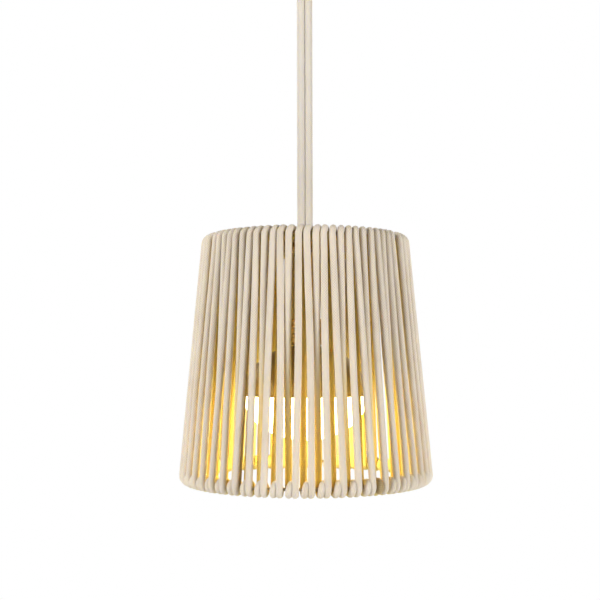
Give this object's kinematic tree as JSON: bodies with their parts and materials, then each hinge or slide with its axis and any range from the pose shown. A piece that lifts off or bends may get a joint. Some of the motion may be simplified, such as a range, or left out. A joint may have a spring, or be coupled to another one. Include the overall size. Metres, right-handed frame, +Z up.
{
  "type": "hanging lantern",
  "caption": "Pendant lantern: tapered drum shade of wound rope on a steel frame with a closed top, globe bulb inside, hung on a rope and textile flex from a cup canopy.",
  "frame": {"origin": "middle of the ceiling bracket's top face, where it meets the ceiling", "axes": "+Z up; the lantern hangs along -Z; +X runs along the ceiling bracket, and seen from the front (-Y) the suspension rope is on the right"},
  "size_m": [0.2494, 0.2494, 0.5755],
  "materials": {
    "zinc_steel": "zinc plated, slightly dull",
    "white_nylon": "moulded nylon",
    "core_insulation": "soft insulation",
    "canopy_paint": "satin off-white paint",
    "bush_rubber": "matt beige rubber",
    "hanging_rope": "braided natural cotton, round",
    "textile_flex": "braided textile cover, round",
    "aged_brass": "satin aged brass",
    "frame_steel": "satin bronze paint",
    "white_ceramic": "glazed ceramic",
    "bright_brass": "bright pressed brass",
    "shade_rope": "braided natural cotton, round",
    "whipped_end": "rope end whipped with thin twine",
    "bulb_metal": "satin bronze lacquer",
    "opal_diffuser": "opal, lit from inside",
    "nickel_cap": "nickel plated",
    "black_insulator": "black glass",
    "board_metal": "white solder mask on aluminium",
    "led_phosphor": "yellow phosphor",
    "driver_potting": "potted driver"
  },
  "bodies": {
    "ceiling": {"ceiling_bracket": "zinc_steel", "ceiling_hook": "zinc_steel", "hook_nut": "zinc_steel", "terminal_block": "white_nylon", "terminal_screws": "zinc_steel", "core_wires": "core_insulation", "ceiling_canopy": "canopy_paint", "canopy_screws": "zinc_steel", "outlet_bush": "bush_rubber"},
    "link": {"hook_link": "zinc_steel"},
    "lantern": {"rope_eye": "zinc_steel", "grip_screws": "zinc_steel", "stem_wires": "core_insulation", "suspension_rope": "hanging_rope", "power_flex": "textile_flex", "cord_grip": "aged_brass", "spider_hub": "aged_brass", "stem_tube": "aged_brass", "stem_nut": "aged_brass", "lampholder_neck": "aged_brass", "lampholder_shell": "aged_brass", "spider_arms": "frame_steel", "top_lid": "frame_steel", "top_ring": "frame_steel", "bottom_ring": "frame_steel", "frame_uprights": "frame_steel", "lampholder_insert": "white_ceramic", "lampholder_thread": "bright_brass", "lampholder_contact": "bright_brass", "rope_wall_1": "shade_rope", "rope_wall_2": "shade_rope", "rope_wall_3": "shade_rope", "rope_wall_4": "shade_rope", "rope_wall_5": "shade_rope", "rope_wall_6": "shade_rope", "rope_wall_7": "shade_rope", "rope_wall_8": "shade_rope", "rope_wall_9": "shade_rope", "top_rim_turns": "shade_rope", "bottom_rim_turns": "shade_rope", "rope_end": "whipped_end"},
    "bulb": {"bulb_housing": "bulb_metal", "bulb_diffuser": "opal_diffuser", "bulb_screw_cap": "nickel_cap", "bulb_insulator": "black_insulator", "bulb_contact": "nickel_cap", "led_board": "board_metal", "led_chips": "led_phosphor", "led_driver": "driver_potting"}
  },
  "joints": [
    {"name": "link_swing", "type": "hinge", "parent": "ceiling", "child": "link", "pos_m": [0, 0, -0.019], "axis": [1, 0, 0], "range_deg": [-6, 6]},
    {"name": "lantern_swing", "type": "hinge", "parent": "link", "child": "lantern", "pos_m": [0, 0, -0.0292], "axis": [0, 1, 0], "range_deg": [-6, 6]},
    {"name": "bulb_release", "type": "slide", "parent": "lantern", "child": "bulb", "axis": [0, 0, -1], "range_m": [0, 0.022]}
  ]
}
